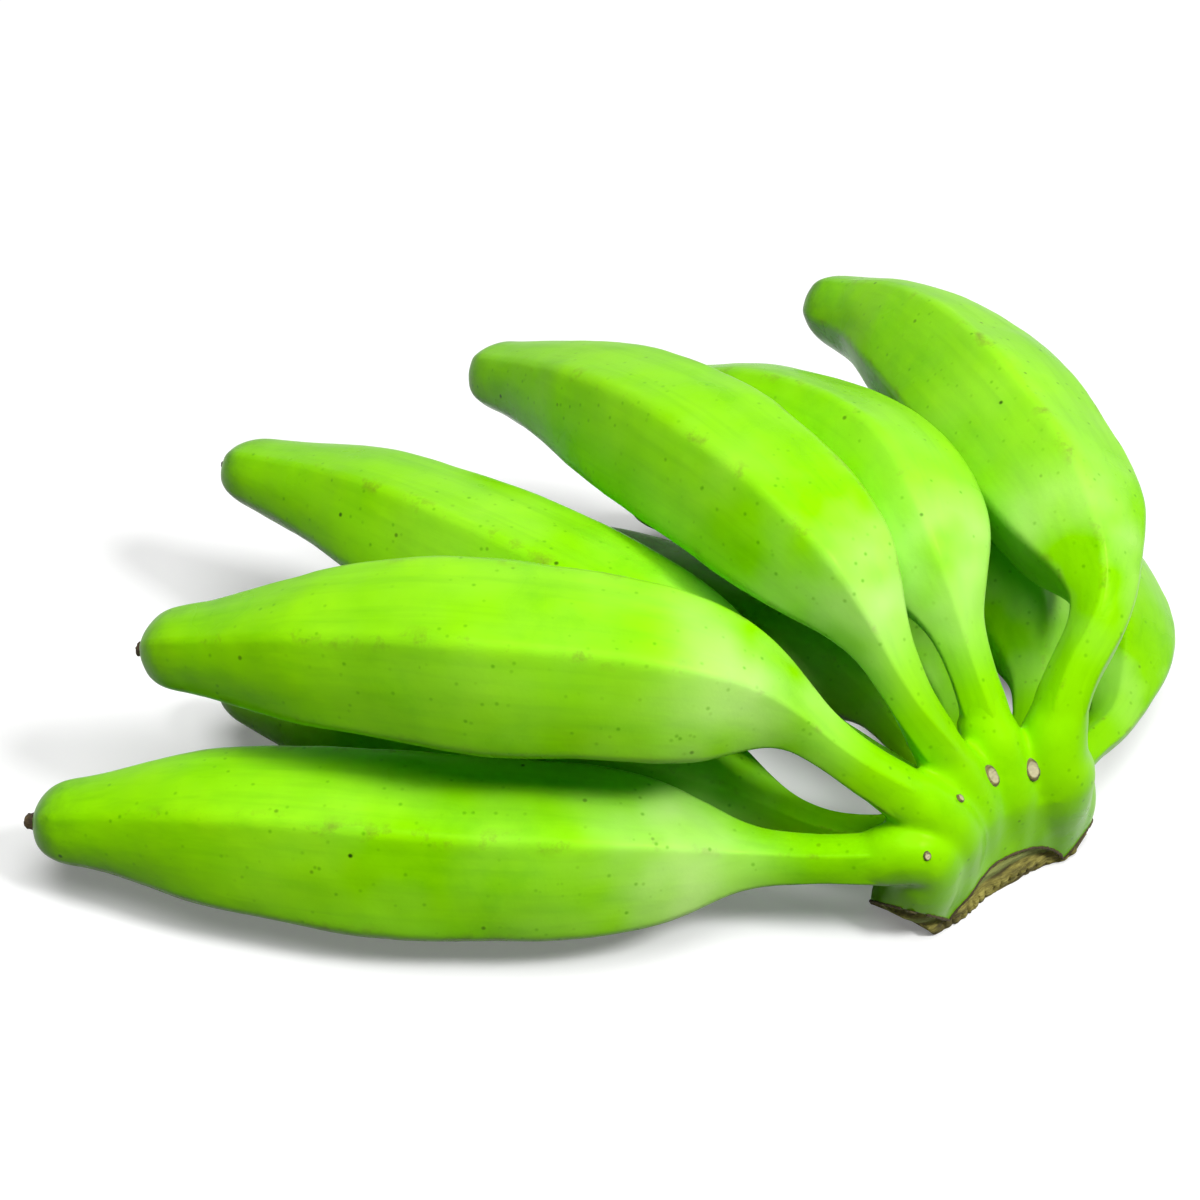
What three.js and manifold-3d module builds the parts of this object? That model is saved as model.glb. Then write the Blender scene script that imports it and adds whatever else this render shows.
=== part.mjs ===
// A hand of green cooking bananas: eleven ridged fingers in two rows on one cut crown.
// Millimetres, +Z up. The hand lies on the plane z = 0, as it would on a table.

import * as THREE from 'three';
import { mergeVertices } from 'three/addons/utils/BufferGeometryUtils.js';
import Module from 'manifold-3d';

const wasm = await Module();
wasm.setup();

// ---------------------------------------------------------------- driving dimensions

const GAP = 0.3;                 // clearance left between two pieces that touch
const CONTACT_GAP = 0.5;         // clearance where two rounded fingers press on each other
const HEART = [82.4, -62.3];     // middle of the crown, seen from above
const RINGS = 22;                // rings along one finger
const SIDES = 10;                // sides round one finger: a ridge and a facet middle, five times
const RIDGES = 5;                // a green banana is five-sided
const RIDGE_DEPTH = 0.11;        // how far a facet's middle lies inside the ridge circle

const CROWN_THICKNESS = 25;      // across the crown, from its outer face to the fan
const CROWN_TOP = 41;            // height of the crown above the table
const CROWN_BOTTOM = -3;         // lowest point of the uncut crown, trimmed off at the table
const CROWN_PATH = [[-21, -25], [-12, -15], [-4, -5], [6, 3], [17, 9], [29, 12]];

const CUT_RADIUS = 21;           // the knife left a hollow, arched cut under the crown
const CUT_TOP = 13;              // height of that arch
const CUT_CENTRE = [-1, -1];     // the arch's middle, seen from above
const CUT_HEADING = 129;         // degrees, the way the arch runs: out along the fan's middle
const CUT_LIP = 1.2;             // the dried rim stands proud of the skin

const STUB_RADIUS = 3.4;         // the dried flower stub at each finger's end
const STUB_REACH = 1.8;          // how far its middle stands past the finger's end

const PEEL_GREEN = 0x7cc810;
const CROWN_GREEN = 0x84d016;
const DRIED_BROWN = 0x6b6436;

// Each finger: its girth, the roll of its first ridge at the stalk and at the tip (degrees from
// straight up, positive towards the right hand of its path), the share of its length taken by
// the stalk, the share at which it starts to narrow, and its centre line from crown to tip,
// measured from the crown's heart.
const FINGERS = [
  { name: 'upper_1', girth: 43.5, roll: [-37, -37], stalk: 0.20, narrows: 0.74,
    path: [[-14, -22, 27], [-32, -22, 25], [-57, -18, 22], [-115, -16, 21.5], [-178, -8, 21], [-217, -4, 19]] },
  { name: 'upper_2', girth: 44, roll: [-40, -40], stalk: 0.21, narrows: 0.68,
    path: [[-13, -15, 32], [-31, -15, 47], [-54, -9, 62], [-114, -2, 67], [-164, 8, 61], [-190, 15, 55]] },
  { name: 'upper_3', girth: 41.5, roll: [-33, -33], stalk: 0.21, narrows: 0.66,
    path: [[-7, -6, 33], [-19, -3, 55], [-34, 16, 74], [-64, 54, 79], [-96, 92, 71], [-118, 115, 63]] },
  { name: 'upper_4', girth: 39, roll: [-16, -8], stalk: 0.22, narrows: 0.68,
    path: [[3, 1, 32], [-3, 10, 49], [-10, 26, 63], [-21, 56, 70], [-45, 84, 67], [-78, 110, 60]] },
  { name: 'upper_5', girth: 43, roll: [-2, -12], stalk: 0.22, narrows: 0.70,
    path: [[15, 5, 31], [18.5, 11, 46], [27, 26, 60], [16, 72, 66], [-10, 132, 63.5], [-29, 156, 57]] },
  { name: 'lower_1', girth: 38, roll: [-40, -40], stalk: 0.20, narrows: 0.70,
    path: [[-16, -10, 19], [-36, -8, 20], [-58, 6, 19], [-105, 20, 18.5], [-151, 32, 18.5], [-180, 45, 18]] },
  { name: 'lower_2', girth: 41, roll: [-25, -25], stalk: 0.21, narrows: 0.68,
    path: [[-11, -3, 22], [-28, 0, 34], [-53, 12, 44], [-97, 37, 51], [-149, 74, 51], [-182, 95, 47]] },
  { name: 'lower_3', girth: 39, roll: [-30, -30], stalk: 0.20, narrows: 0.70,
    path: [[-6, 3, 17], [-15, 24, 20], [-32, 49, 19.5], [-75, 69, 19], [-114, 88, 19], [-141, 103, 19]] },
  { name: 'lower_4', girth: 36, roll: [-48, -48], stalk: 0.20, narrows: 0.70,
    path: [[2, 5, 16], [-1, 31, 19], [-6, 61, 18], [-31, 94, 17.5], [-64, 116, 18], [-79, 119, 18]] },
  { name: 'lower_5', girth: 35, roll: [-60, -60], stalk: 0.20, narrows: 0.70,
    path: [[9, 7, 17], [16, 28, 23], [17, 56, 26], [3, 90, 30], [-24, 119, 30], [-59, 139, 30]] },
  { name: 'lower_6', girth: 37, roll: [-70, -60], stalk: 0.20, narrows: 0.70,
    path: [[17, 10, 17], [27, 20, 19], [37.5, 35, 17], [39, 76, 16.5], [20, 121, 17], [-13, 145, 18]] },
];

// ---------------------------------------------------------------- solids and geometries

/** Turns a closed three.js geometry into a manifold solid. */
function solidOf(geometry) {
  const bare = geometry.clone();
  bare.deleteAttribute('normal');
  bare.deleteAttribute('uv');
  const welded = mergeVertices(bare, 1e-4);
  return new wasm.Manifold(new wasm.Mesh({
    numProp: 3,
    vertProperties: new Float32Array(welded.attributes.position.array),
    triVerts: new Uint32Array(welded.index.array),
  }));
}

/** Turns a manifold solid back into a three.js geometry, keeping only its largest body. */
function geometryOf(solid) {
  const bodies = solid.decompose();
  bodies.sort((a, b) => b.volume() - a.volume());
  const mesh = bodies[0].getMesh();
  const geometry = new THREE.BufferGeometry();
  geometry.setAttribute('position', new THREE.BufferAttribute(mesh.vertProperties, 3));
  geometry.setIndex(new THREE.BufferAttribute(mesh.triVerts, 1));
  geometry.computeVertexNormals();
  return geometry;
}

/** Moves every vertex of a geometry to the place that a function gives for it. */
function remap(geometry, place) {
  const position = geometry.attributes.position;
  const vertex = new THREE.Vector3();
  for (let i = 0; i < position.count; i += 1) {
    vertex.fromBufferAttribute(position, i);
    const moved = place(vertex);
    position.setXYZ(i, moved.x, moved.y, moved.z);
  }
  return geometry;
}

/** Everything below the table, as one block to cut away. */
function belowTable() {
  const depth = 60;
  const block = new THREE.BoxGeometry(800, 800, depth);
  block.translate(0, 0, -depth / 2);
  return solidOf(block);
}

// ---------------------------------------------------------------- one finger

/** Half width of a finger at a share of its length, as a share of half its girth. */
function widthProfile(finger) {
  const { stalk, narrows } = finger;
  const rest = 1 - narrows;
  const stations = [
    [0, 0.34],                        // flares into the crown
    [0.6 * stalk, 0.30],              // the stalk's waist
    [stalk, 0.35],
    [stalk + 0.05, 0.55],             // the shoulder swells quickly
    [stalk + 0.10, 0.77],
    [stalk + 0.17, 0.92],
    [stalk + 0.28, 0.99],             // the belly
    [narrows - 0.08, 1.0],
    [narrows + 0.27 * rest, 0.85],
    [narrows + 0.50 * rest, 0.69],
    [narrows + 0.70 * rest, 0.55],    // the neck
    [narrows + 0.87 * rest, 0.46],
    [1, 0.26],                        // the blunt end
  ];
  const shares = stations.map((station) => station[0]);
  const widths = stations.map((station) => station[1]);
  const curve = new THREE.CubicInterpolant(shares, widths, 1);
  return (share) => curve.evaluate(share)[0];
}

/** The three unit directions across and along a path at one point: side, up and ahead. */
function frameAt(curve, share) {
  const ahead = curve.getTangentAt(share);
  const side = new THREE.Vector3().crossVectors(ahead, new THREE.Vector3(0, 0, 1)).normalize();
  const up = new THREE.Vector3().crossVectors(side, ahead).normalize();
  return { side, up, ahead };
}

/** The centre line of a finger, in the part's own frame. */
function centreLine(finger) {
  const points = finger.path.map(([x, y, z]) => new THREE.Vector3(HEART[0] + x, HEART[1] + y, z));
  const curve = new THREE.CatmullRomCurve3(points, false, 'centripetal');
  curve.arcLengthDivisions = 400;
  return curve;
}

/** A finger as a closed solid, grown by `extra` all round. */
function fingerSolid(finger, extra = 0) {
  const curve = centreLine(finger);
  const width = widthProfile(finger);
  const halfGirth = finger.girth / 2;
  const tube = new THREE.CylinderGeometry(1, 1, 1, SIDES, RINGS);
  remap(tube, (vertex) => {
    const share = THREE.MathUtils.clamp(vertex.y + 0.5, 0, 1);
    const { side, up } = frameAt(curve, share);
    const around = Math.atan2(vertex.x, vertex.z);
    const ridgeWave = 0.5 - 0.5 * Math.cos(RIDGES * around);
    const onAxis = Math.hypot(vertex.x, vertex.z) < 0.5;
    const reach = onAxis ? 0 : (halfGirth * width(share) + extra) * (1 - RIDGE_DEPTH * ridgeWave);
    const roll = THREE.MathUtils.degToRad(THREE.MathUtils.lerp(finger.roll[0], finger.roll[1], share));
    return curve.getPointAt(share)
      .addScaledVector(side, reach * Math.sin(around + roll))
      .addScaledVector(up, reach * Math.cos(around + roll));
  });
  return solidOf(tube);
}

/** The dried stub of the flower at a finger's end. */
function stubSolid(finger) {
  const curve = centreLine(finger);
  const middle = curve.getPointAt(1).addScaledVector(curve.getTangentAt(1), STUB_REACH);
  const ball = new THREE.IcosahedronGeometry(STUB_RADIUS, 1);
  ball.translate(middle.x, middle.y, middle.z);
  return solidOf(ball);
}

// ---------------------------------------------------------------- the crown

/** The crown before the knife: a curved cushion, grown by `extra` all round. */
function crownSolid(extra = 0) {
  const points = CROWN_PATH.map(([x, y]) => new THREE.Vector3(HEART[0] + x, HEART[1] + y, 0));
  const curve = new THREE.CatmullRomCurve3(points, false, 'centripetal');
  const middle = (CROWN_TOP + CROWN_BOTTOM) / 2;
  const halfHeight = (CROWN_TOP - CROWN_BOTTOM) / 2 + extra;
  const halfThickness = CROWN_THICKNESS / 2 + extra;
  const cushion = new THREE.SphereGeometry(1, 20, 16);
  remap(cushion, (vertex) => {
    const share = Math.acos(THREE.MathUtils.clamp(-vertex.y, -1, 1)) / Math.PI;
    const fullness = (1 - Math.abs(2 * share - 1) ** 4) ** 0.5;
    const { side, ahead } = frameAt(curve, share);
    const around = Math.atan2(vertex.x, vertex.z);
    const squareness = 1 / (Math.abs(Math.sin(around)) ** 3 + Math.abs(Math.cos(around)) ** 3) ** (1 / 3);
    const onAxis = Math.hypot(vertex.x, vertex.z) < 1e-6;
    const reach = onAxis ? 0 : fullness * squareness;
    const end = curve.getPointAt(share).addScaledVector(ahead, extra * (2 * share - 1));
    end.addScaledVector(side, reach * halfThickness * Math.sin(around));
    end.z = middle + reach * halfHeight * Math.cos(around);
    return end;
  });
  return solidOf(cushion);
}

/** The arch that the knife cut away, as a lying drum. */
function archSolid(shrink = 0) {
  const drum = new THREE.CylinderGeometry(CUT_RADIUS - shrink, CUT_RADIUS - shrink, 90, 40);
  drum.rotateZ(-Math.PI / 2);
  drum.rotateZ(THREE.MathUtils.degToRad(CUT_HEADING));
  drum.translate(HEART[0] + CUT_CENTRE[0], HEART[1] + CUT_CENTRE[1], CUT_TOP - CUT_RADIUS);
  return solidOf(drum);
}

// ---------------------------------------------------------------- the hand

/** Makes a named mesh of a solid. */
function piece(name, solid, colour, roughness) {
  const material = new THREE.MeshStandardMaterial({ color: colour, roughness, metalness: 0 });
  const mesh = new THREE.Mesh(geometryOf(solid), material);
  mesh.name = name;
  return mesh;
}

function buildHand() {
  const hand = new THREE.Group();
  const table = belowTable();

  const crown = crownSolid().subtract(archSolid()).subtract(table);
  const cut = crownSolid(CUT_LIP).intersect(archSolid(GAP)).subtract(table);
  hand.add(piece('crown', crown, CROWN_GREEN, 0.45));
  hand.add(piece('crown_cut', cut, DRIED_BROWN, 0.9));

  // What each finger has to stay clear of: the whole crown, its dried rim and every finger
  // already in place. The fingers of the upper row keep their shape and dent the lower ones.
  const taken = [crownSolid(GAP), crownSolid(CUT_LIP + GAP).intersect(archSolid())];
  for (const finger of FINGERS) {
    const body = taken.reduce((left, other) => left.subtract(other), fingerSolid(finger).subtract(table));
    hand.add(piece(`finger_${finger.name}`, body, PEEL_GREEN, 0.42));
    taken.push(fingerSolid(finger, CONTACT_GAP));
  }
  for (const finger of FINGERS) {
    const stub = stubSolid(finger).subtract(fingerSolid(finger, GAP)).subtract(table);
    hand.add(piece(`flower_stub_${finger.name}`, stub, DRIED_BROWN, 0.95));
  }
  return hand;
}

export default buildHand();
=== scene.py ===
"""A hand of green cooking bananas: eleven ridged fingers in two rows on one cut crown.

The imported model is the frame. Every piece here stands for one of its nodes and lies where that
node lies. Metres, +Z up, with the hand lying on z = 0.
"""
import logging
import math
import random
from dataclasses import dataclass
from enum import Enum
from typing import Any, Callable, Sequence

import bmesh
import bpy
import numpy as np
from mathutils import Matrix, Vector, noise


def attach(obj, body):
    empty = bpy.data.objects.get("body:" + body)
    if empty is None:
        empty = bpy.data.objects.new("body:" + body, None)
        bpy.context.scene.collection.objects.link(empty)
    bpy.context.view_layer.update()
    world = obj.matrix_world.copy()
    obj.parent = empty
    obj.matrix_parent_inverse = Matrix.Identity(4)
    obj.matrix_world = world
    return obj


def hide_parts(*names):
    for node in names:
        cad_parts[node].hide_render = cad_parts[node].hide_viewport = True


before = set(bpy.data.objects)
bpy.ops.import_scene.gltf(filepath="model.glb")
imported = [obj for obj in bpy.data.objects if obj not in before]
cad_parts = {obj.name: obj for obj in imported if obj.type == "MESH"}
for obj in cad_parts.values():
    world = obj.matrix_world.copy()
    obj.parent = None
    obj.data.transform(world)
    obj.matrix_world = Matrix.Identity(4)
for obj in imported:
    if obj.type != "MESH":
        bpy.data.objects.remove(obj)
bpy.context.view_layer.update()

log = logging.getLogger("bananas")

# ---------------------------------------------------------------- driving sizes, in millimetres

MM = 0.001                                  # millimetres to metres
HEART = Vector((82.4, -62.3, 0.0))          # middle of the crown, seen from above
RIDGES = 5                                  # a green cooking banana is five-sided
RIDGE_ROUND = 3.9                           # radius of a ridge at the belly
FACET_SWELL = 1.05                          # a facet's middle bulges out this much
CORNER_PAST = 0.236                         # a corner stands past its rounding, in its radii
CORNER_TANGENT = 1.376                      # tangent of half the angle of a five-sided corner
RING_STEP = 5.6                             # between two rings of a finger's cage
SMOOTH_LEVELS = 2                           # subdivision of a finger's cage
TABLE_GAP = 0.15                            # pieces that rest are flattened at this height
# rise and narrowing of each ring that rounds over a finger's blunt end
END_ROUND = ((2.6, 0.94), (2.4, 0.88), (2.0, 0.82), (1.4, 0.75), (0.8, 0.68), (0.2, 0.58),
             (-0.3, 0.50), (-0.4, 0.40))
END_LENGTH = 8.7                            # how much of a finger that rounding takes
SWELL = (38.0, 2.2)                         # slow swells of the flesh: their size and height
DENTS = (9.0, 0.35)                         # small dents of the skin, likewise
SHOULDER = 0.05                             # share of the length where stalk turns to shoulder
NECK = 0.93                                 # share of the length where the neck is roundest
NECK_ROUND = 0.85                           # share of the ridges' height that is gone there
STALK_ROUND = 0.35                          # and on the stalk

CROWN_VOXEL = 0.75                          # grain of the crown's mesh while it is fused
ROOT_SINK = 3.2                             # a finger's first ring is drawn in this much,
ROOT_LENGTH = 9.0                           # over this length, to stay inside the crown
STUMP_LENGTH = 24.0                         # each stalk's first stretch belongs to the crown,
STUMP_PROUD = 0.45                          # stands this far out of the finger inside it
STUMP_TAPER = 0.55                          # and loses this much on the way
ARCH_RADIUS = 21.0                          # the knife left a hollow arch under the crown
ARCH_TOP = 13.0                             # its height over the table
ARCH_MIDDLE = (-1.0, -1.0)                  # a point under its top, from the heart
ARCH_HEADING = 129.0                        # degrees from +X in which it runs
ARCH_LENGTH = 90.0                          # the round bar that hollows it out is this long
SAW_SIZE = 200.0                            # side of a block that is larger than the crown
LEFT_CUT_POINT = (-9, -21, 4.6)             # a second stroke bevels the skin's front end
LEFT_CUT_FACING = Vector((-3.5, -10.3, -10.0))
LIP_CUT_POINT = (-9, -21.8, 0.0)            # and leaves a lip of dried tissue under it
LIP_CUT_FACING = Vector((-7.1, -10.4, -10.7))
RIGHT_CUT_POINT = (25.6, 5.6, 4.0)          # a last stroke bevels the crown's back end
RIGHT_CUT_FACING = Vector((7.7, -4.1, -4.9))
FLESH_SHRINK = 1.3                          # the dried tissue lies this far inside the skin,
FLESH_TOP = 15.0                            # reaches this high in the arch
FLESH_PROUD = 0.4                           # and stands this far out of the last cut
CRUMB_FACES = 400                           # a loose bit of fewer faces is a crumb of the cutting
EDGE_CRUMB_FACES = 100                      # likewise on the thin dried edge
WELD = 0.02                                 # points closer than this are one
SEED = 11


# ---------------------------------------------------------------- small tools


def linear(code: str) -> tuple[float, float, float, float]:
    """Turns an sRGB hex colour into linear light.

    Args:
        code: six hex digits with a leading hash.

    Returns:
        Linear red, green, blue and an alpha of 1.
    """
    parts = [int(code[i:i + 2], 16) / 255 for i in (1, 3, 5)]
    light = [p / 12.92 if p <= 0.04045 else ((p + 0.055) / 1.055) ** 2.4 for p in parts]
    return (*light, 1.0)


def add_node(tree: bpy.types.NodeTree, kind: str, settings: dict | None = None,
             links: dict | None = None) -> bpy.types.Node:
    """Adds a node with its settings and links.

    Args:
        tree: the material's node tree.
        kind: the node's Blender type name.
        settings: node properties by name, and socket values by socket name or number.
        links: output sockets by the name or number of the input that they feed.

    Returns:
        The new node.
    """
    node = tree.nodes.new(kind)
    for name, value in (settings or {}).items():
        if isinstance(name, str) and hasattr(node, name):
            setattr(node, name, value)
        else:
            node.inputs[name].default_value = value
    for name, source in (links or {}).items():
        tree.links.new(source, node.inputs[name])
    return node


def deselect() -> None:
    """Leaves edit mode and deselects everything."""
    if bpy.context.object and bpy.context.object.mode != "OBJECT":
        bpy.ops.object.mode_set(mode="OBJECT")
    bpy.ops.object.select_all(action="DESELECT")


def take_up(piece: bpy.types.Object) -> bpy.types.Object:
    """Makes one object the selected and active one.

    Args:
        piece: the object.

    Returns:
        The same object.
    """
    deselect()
    piece.select_set(True)
    bpy.context.view_layer.objects.active = piece
    return piece


def work(piece: bpy.types.Object, kind: str, **settings: Any) -> None:
    """Puts one modifier on a piece and applies it.

    Args:
        piece: the mesh object.
        kind: the modifier's Blender type name.
        settings: its properties by name.
    """
    take_up(piece)
    modifier = piece.modifiers.new(kind.lower(), kind)
    for name, value in settings.items():
        setattr(modifier, name, value)
    bpy.ops.object.modifier_apply(modifier=modifier.name)


def in_scene(name: str, data: bpy.types.ID) -> bpy.types.Object:
    """Makes an object of a mesh, curve, lamp or camera and links it to the scene.

    Args:
        name: the object's name.
        data: what it shows.

    Returns:
        The new object.
    """
    made = bpy.data.objects.new(name, data)
    bpy.context.scene.collection.objects.link(made)
    return made


def raise_ring(rise: float, ratio: float, height: float = 0.0) -> None:
    """Extrudes the selected ring upwards and then widens or narrows it about the z axis.

    Args:
        rise: how far it goes up, in metres.
        ratio: its new width over its old one.
        height: where it ends, in metres.
    """
    bpy.ops.mesh.extrude_region_move(TRANSFORM_OT_translate={"value": (0, 0, rise)})
    bpy.ops.transform.resize(value=(ratio, ratio, 1), center_override=(0, 0, height))


def clamp(value: float) -> float:
    """Keeps a value between 0 and 1."""
    return min(max(value, 0.0), 1.0)


def fuse(pieces: Sequence[bpy.types.Object], name: str) -> bpy.types.Object:
    """Joins several objects into the first of them.

    Args:
        pieces: the objects, the first of which stays.
        name: the joined object's name.

    Returns:
        The joined object.
    """
    deselect()
    for piece in pieces:
        piece.select_set(True)
    bpy.context.view_layer.objects.active = pieces[0]
    bpy.ops.object.join()
    pieces[0].name = name
    pieces[0].data.name = name
    return pieces[0]


def settle(piece: bpy.types.Object) -> None:
    """Flattens whatever would sink below the table onto it.

    Args:
        piece: the mesh object.
    """
    spots = np.empty(len(piece.data.vertices) * 3)
    piece.data.vertices.foreach_get("co", spots)
    spots = spots.reshape(-1, 3)
    spots[:, 2] = np.maximum(spots[:, 2], TABLE_GAP * MM)
    piece.data.vertices.foreach_set("co", spots.ravel())
    piece.data.update()


def islands(cage: bmesh.types.BMesh) -> list[list[bmesh.types.BMFace]]:
    """Sorts a mesh's faces into groups that hang together by their edges.

    Args:
        cage: the mesh in edit mode.

    Returns:
        The groups.
    """
    waiting = set(cage.faces)
    groups = []
    while waiting:
        island = [waiting.pop()]
        for face in island:
            for edge in face.edges:
                for other in edge.link_faces:
                    if other in waiting:
                        waiting.remove(other)
                        island.append(other)
        groups.append(island)
    return groups


def drop_crumbs(piece: bpy.types.Object, fewest: int) -> None:
    """Welds a cut surface and deletes the crumbs and folded flaps that the cutting left.

    Args:
        piece: the mesh object.
        fewest: an island of fewer faces than this is a crumb.
    """
    take_up(piece)
    bpy.ops.object.mode_set(mode="EDIT")
    bpy.ops.mesh.select_all(action="SELECT")
    bpy.ops.mesh.remove_doubles(threshold=WELD * MM)
    bpy.ops.mesh.dissolve_degenerate(threshold=WELD * MM)
    bpy.ops.mesh.select_all(action="DESELECT")
    cage = bmesh.from_edit_mesh(piece.data)
    bmesh.ops.delete(cage, geom=[e for e in cage.edges if not e.link_faces], context="EDGES")
    # a point with two edges only is the tip of a fold, where two faces lie on each other
    folded = [v for v in cage.verts
              if len(v.link_edges) == 2 and any(len(f.verts) > 3 for f in v.link_faces)]
    bmesh.ops.dissolve_verts(cage, verts=folded)
    same: dict[frozenset[bmesh.types.BMVert], list[bmesh.types.BMFace]] = {}
    for face in cage.faces:
        same.setdefault(frozenset(face.verts), []).append(face)
    flaps = [twins for twins in same.values() if len(twins) > 1]
    crumbs = [island for island in islands(cage) if len(island) < fewest]
    for face in sum(flaps + crumbs, []):
        face.select_set(True)
    bmesh.update_edit_mesh(piece.data)
    bpy.ops.mesh.delete(type="FACE")
    bpy.ops.mesh.select_all(action="SELECT")
    bpy.ops.mesh.delete_loose()
    bpy.ops.object.mode_set(mode="OBJECT")


def smooth_through(stations: Sequence[tuple[float, float]], at: float) -> float:
    """Reads a smooth curve through given stations.

    Args:
        stations: (place, value) pairs in rising order.
        at: where to read it.

    Returns:
        The value there, by cubic pieces with matched slopes.
    """
    places = [s[0] for s in stations]
    values = [s[1] for s in stations]
    last = len(places) - 1
    if at <= places[0]:
        return values[0]
    if at >= places[last]:
        return values[last]
    i = max(k for k in range(last) if places[k] <= at)
    slopes = []
    for k in (i, i + 1):
        low, high = max(k - 1, 0), min(k + 1, last)
        slopes.append((values[high] - values[low]) / (places[high] - places[low]))
    gap = places[i + 1] - places[i]
    t = (at - places[i]) / gap
    return ((2 * t**3 - 3 * t**2 + 1) * values[i] + (t**3 - 2 * t**2 + t) * gap * slopes[0]
            + (-2 * t**3 + 3 * t**2) * values[i + 1] + (t**3 - t**2) * gap * slopes[1])


def roughen(piece: bpy.types.Object, label: str, grain: float, depth: float) -> None:
    """Moves a surface in and out by a soft cloud pattern and applies it.

    Args:
        piece: the mesh object.
        label: name of the pattern.
        grain: size of one lump, in millimetres.
        depth: height from hollow to lump, in millimetres.
    """
    pattern = bpy.data.textures.new(label, "CLOUDS")
    pattern.noise_scale = grain * MM
    pattern.noise_depth = 1
    work(piece, "DISPLACE", texture=pattern, texture_coords="LOCAL", strength=depth * MM,
         mid_level=0.5)


# ---------------------------------------------------------------- finishes


def blank_material(name: str) -> tuple[bpy.types.Material, bpy.types.NodeTree]:
    """Starts a material with an empty node tree.

    Args:
        name: the material's name.

    Returns:
        The material and its node tree.
    """
    made = bpy.data.materials.new(name)
    made.use_nodes = True
    made.node_tree.nodes.clear()
    return made, made.node_tree


def patches(tree: bpy.types.NodeTree, place: bpy.types.NodeSocket, size_mm: float,
            grit: tuple[float, float], span: tuple[float, float],
            reach: tuple[float, float]) -> bpy.types.NodeSocket:
    """Draws a cloudy pattern and spreads its middle values over a range.

    Args:
        tree: the material's node tree.
        place: where on the piece.
        size_mm: size of one patch.
        grit: how many finer patterns lie in it, and how strong they are.
        span: pattern values at which the range begins and ends.
        reach: first and last value of the range.

    Returns:
        The pattern's value.
    """
    cloud = add_node(tree, "ShaderNodeTexNoise",
                     {"Scale": 1 / (size_mm * MM), "Detail": grit[0], "Roughness": grit[1]},
                     {"Vector": place}).outputs["Fac"]
    return add_node(tree, "ShaderNodeMapRange",
                    {"From Min": span[0], "From Max": span[1],
                     "To Min": reach[0], "To Max": reach[1]}, {"Value": cloud}).outputs[0]


@dataclass(frozen=True)
class Dots:
    """Scattered round dots of one colour, some fainter than others.

    Spacing is in millimetres. The edge gives the distances from a dot's middle, in spacings, at
    which it begins to fade and is gone. Channel and rarity pick which dots show.
    """

    colour: str
    spacing: float
    edge: tuple[float, float]
    strength: float
    channel: int
    rarity: float

    def share(self, tree: bpy.types.NodeTree, place: bpy.types.NodeSocket) -> bpy.types.NodeSocket:
        """Draws how much of each point of the piece the dots cover.

        Args:
            tree: the material's node tree.
            place: where on the piece.

        Returns:
            The covered share.
        """
        cells = add_node(tree, "ShaderNodeTexVoronoi", {"Scale": 1 / (self.spacing * MM)},
                         {"Vector": place}).outputs
        dot = add_node(tree, "ShaderNodeMapRange",
                       {"From Min": self.edge[0], "From Max": self.edge[1],
                        "To Min": self.strength, "To Max": 0.0},
                       {"Value": cells["Distance"]}).outputs[0]
        draw = add_node(tree, "ShaderNodeSeparateColor", {}, {0: cells["Color"]}).outputs
        chosen = add_node(tree, "ShaderNodeMapRange", {"From Min": self.rarity, "From Max": 1.0},
                          {"Value": draw[self.channel]}).outputs[0]
        return add_node(tree, "ShaderNodeMath", {"operation": "MULTIPLY"},
                        {0: dot, 1: chosen}).outputs[0]


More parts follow.
